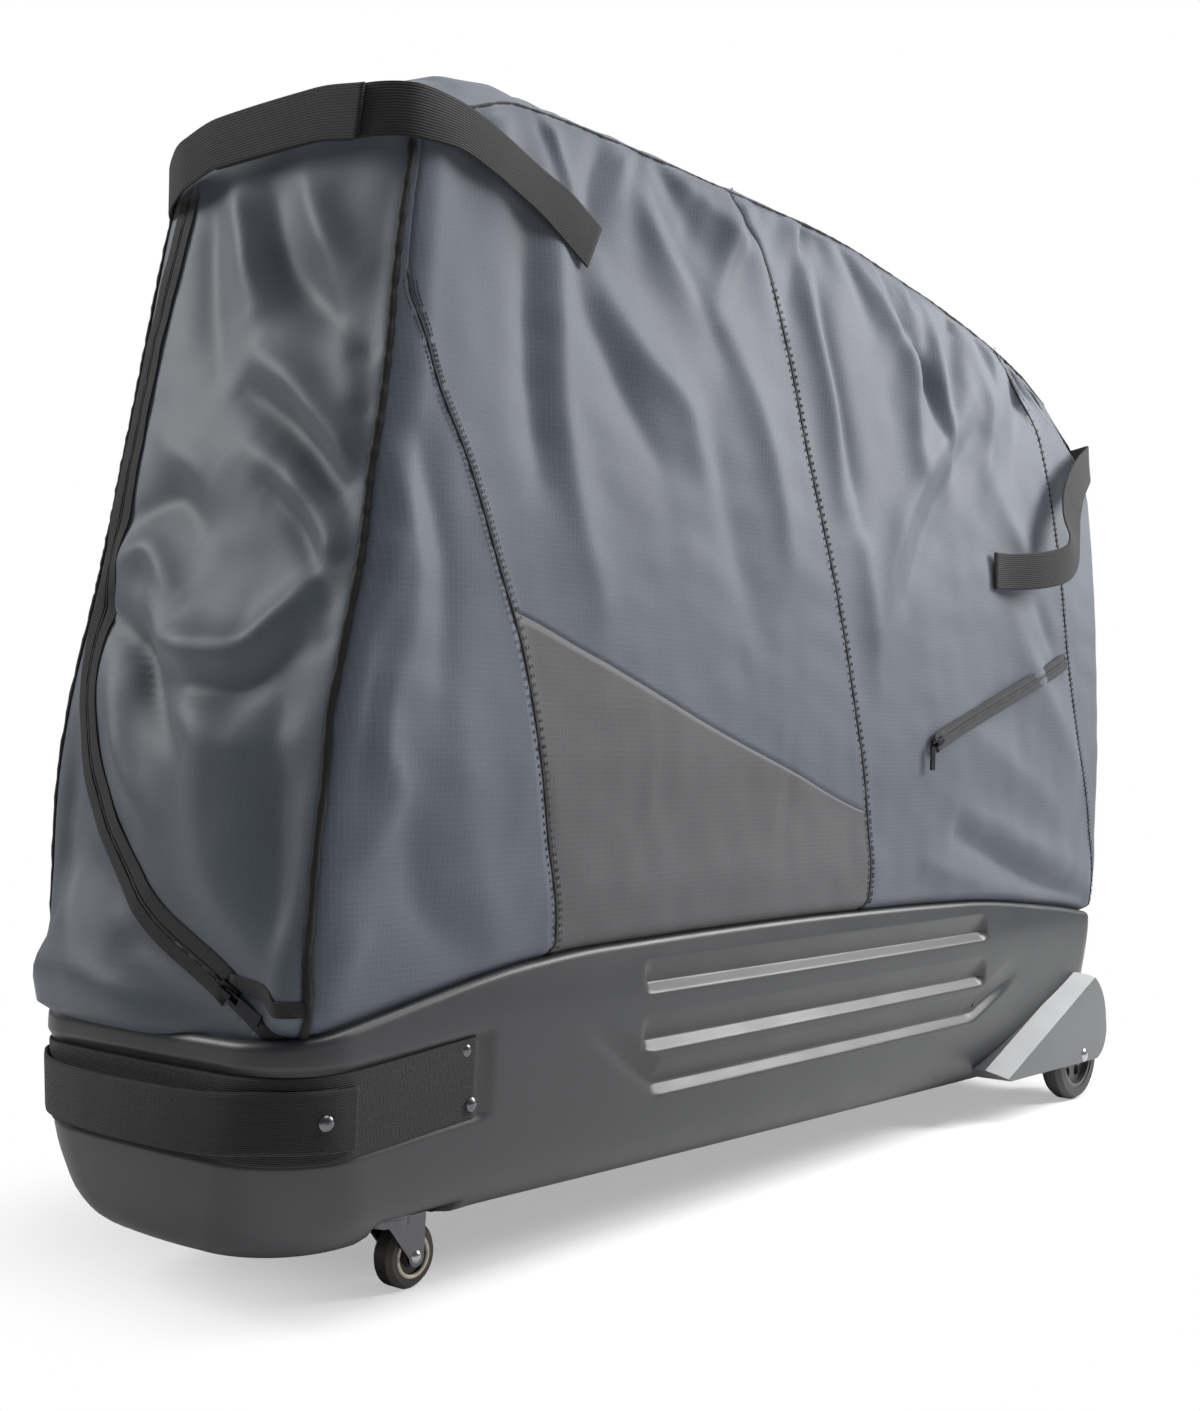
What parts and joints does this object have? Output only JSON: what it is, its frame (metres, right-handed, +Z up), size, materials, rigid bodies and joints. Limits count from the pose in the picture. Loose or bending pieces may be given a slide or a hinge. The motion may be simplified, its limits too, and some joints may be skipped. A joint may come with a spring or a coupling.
{
  "type": "bike travel case",
  "caption": "Tall bike travel case: a moulded tub on fixed rear wheels and front swivel casters, under a sewn zip-open cover with carry straps and a bike stand inside.",
  "frame": {"origin": "on the floor under the middle of the case", "axes": "+X towards the fixed rear wheels, -Y the side whose cover folds down, +Z up"},
  "size_m": [1.3022, 0.3866, 0.9317],
  "materials": {
    "cloth": "ripstop nylon, blue grey",
    "block_cloth": "ripstop nylon, brown grey",
    "webbing": "black ribbed webbing",
    "zip_tape": "black coil zip",
    "zip_metal": "black painted",
    "tub_plastic": "charcoal, fine moulded grain",
    "cowl_plastic": "dark grey, satin",
    "rivet_metal": "zinc plated",
    "caster_metal": "black zinc",
    "axle_metal": "zinc plated",
    "caster_rubber": "brown black",
    "wheel_rubber": "dark grey urethane",
    "hub_plastic": "black",
    "rail_metal": "anodised",
    "stand_plastic": "black",
    "knob_plastic": "black",
    "pad_rubber": "black",
    "hoop_rod": "glass fibre rod",
    "foam": "cloth faced foam"
  },
  "bodies": {
    "root": {"tub": "tub_plastic", "near_hem": "cloth", "far_front_gusset": "cloth", "far_lower_block": "block_cloth", "far_centre_panel": "cloth", "far_rear_panel": "cloth", "front_lower_panel": "cloth", "rear_lower_panel": "cloth", "main_zip_fixed": "zip_tape", "front_strap_far": "webbing", "rear_strap_far": "webbing", "pull_webbing": "webbing", "pull_grip": "webbing", "pull_rivets": "rivet_metal", "near_wheel_cowl": "cowl_plastic", "far_wheel_cowl": "cowl_plastic", "rear_axles": "rivet_metal", "near_caster_plate": "caster_metal", "far_caster_plate": "caster_metal", "caster_rivets": "rivet_metal", "rail": "rail_metal", "rail_feet": "stand_plastic", "front_hoop": "hoop_rod", "rear_hoop": "hoop_rod", "hoop_sockets": "stand_plastic", "far_pad": "foam"},
    "cover": {"near_front_gusset": "cloth", "near_lower_block": "block_cloth", "near_centre_panel": "cloth", "near_rear_panel": "cloth", "front_upper_panel": "cloth", "rear_upper_panel": "cloth", "top_panel": "cloth", "main_zip_moving": "zip_tape", "front_strap_near": "webbing", "rear_strap_near": "webbing", "pocket_zip": "zip_tape", "pocket_pouch": "cloth", "near_pad": "foam"},
    "near_caster": {"near_caster_fork": "caster_metal", "near_caster_axle": "axle_metal"},
    "near_caster_roller": {"near_caster_wheel": "caster_rubber"},
    "far_caster": {"far_caster_fork": "caster_metal", "far_caster_axle": "axle_metal"},
    "far_caster_roller": {"far_caster_wheel": "caster_rubber"},
    "near_wheel": {"near_rear_tyre": "wheel_rubber", "near_rear_hub": "hub_plastic"},
    "far_wheel": {"far_rear_tyre": "wheel_rubber", "far_rear_hub": "hub_plastic"},
    "main_zip_slider": {"main_slider": "zip_metal"},
    "main_zip_pull": {"main_pull": "zip_metal"},
    "pocket_zip_slider": {"pocket_slider": "zip_metal"},
    "pocket_zip_pull": {"pocket_pull": "zip_metal"},
    "fork_stand": {"fork_mount": "stand_plastic"},
    "fork_stand_knob": {"fork_mount_knob": "knob_plastic"},
    "cradle_stand": {"cradle": "stand_plastic", "cradle_pad": "pad_rubber"},
    "cradle_stand_knob": {"cradle_knob": "knob_plastic"}
  },
  "joints": [
    {"name": "cover_open", "type": "hinge", "parent": "root", "child": "cover", "pos_m": [0, -0.1625, 0.252], "axis": [1, 0, 0], "range_deg": [0, 100]},
    {"name": "near_caster_swivel", "type": "hinge", "parent": "root", "child": "near_caster", "pos_m": [-0.486, -0.098, 0.053], "axis": [0, 0, 1], "continuous": true},
    {"name": "near_caster_roll", "type": "hinge", "parent": "near_caster", "child": "near_caster_roller", "pos_m": [-0.466, -0.098, 0.0245], "axis": [0, 1, 0], "continuous": true},
    {"name": "near_wheel_roll", "type": "hinge", "parent": "root", "child": "near_wheel", "pos_m": [0.561, -0.153, 0.052], "axis": [0, 1, 0], "continuous": true},
    {"name": "far_caster_swivel", "type": "hinge", "parent": "root", "child": "far_caster", "pos_m": [-0.486, 0.098, 0.053], "axis": [0, 0, 1], "continuous": true},
    {"name": "far_caster_roll", "type": "hinge", "parent": "far_caster", "child": "far_caster_roller", "pos_m": [-0.466, 0.098, 0.0245], "axis": [0, 1, 0], "continuous": true},
    {"name": "far_wheel_roll", "type": "hinge", "parent": "root", "child": "far_wheel", "pos_m": [0.561, 0.153, 0.052], "axis": [0, 1, 0], "continuous": true},
    {"name": "main_zip_slide", "type": "slide", "parent": "root", "child": "main_zip_slider", "axis": [-0.0358, 0.899, 0.4365], "range_m": [0, 0.06]},
    {"name": "main_pull_flip", "type": "hinge", "parent": "main_zip_slider", "child": "main_zip_pull", "pos_m": [-0.62618, -0.08644, 0.23209], "axis": [-0.0669, 0.4336, -0.8986], "range_deg": [0, 150]},
    {"name": "pocket_zip_slide", "type": "slide", "parent": "cover", "child": "pocket_zip_slider", "axis": [0.9534, 0.0058, 0.3016], "range_m": [0, 0.3]},
    {"name": "pocket_pull_flip", "type": "hinge", "parent": "pocket_zip_slider", "child": "pocket_zip_pull", "pos_m": [0.20309, -0.17574, 0.41285], "axis": [-0.3014, -0.0231, 0.9532], "range_deg": [0, 150]},
    {"name": "fork_stand_slide", "type": "slide", "parent": "root", "child": "fork_stand", "axis": [1, 0, 0], "range_m": [-0.08, 0.2]},
    {"name": "fork_knob_turn", "type": "hinge", "parent": "fork_stand", "child": "fork_stand_knob", "pos_m": [-0.3, -0.04, 0.117], "axis": [0, 1, 0], "continuous": true},
    {"name": "cradle_slide", "type": "slide", "parent": "root", "child": "cradle_stand", "axis": [1, 0, 0], "range_m": [-0.1, 0.2]},
    {"name": "cradle_knob_turn", "type": "hinge", "parent": "cradle_stand", "child": "cradle_stand_knob", "pos_m": [0.13, -0.04, 0.117], "axis": [0, 1, 0], "continuous": true}
  ]
}
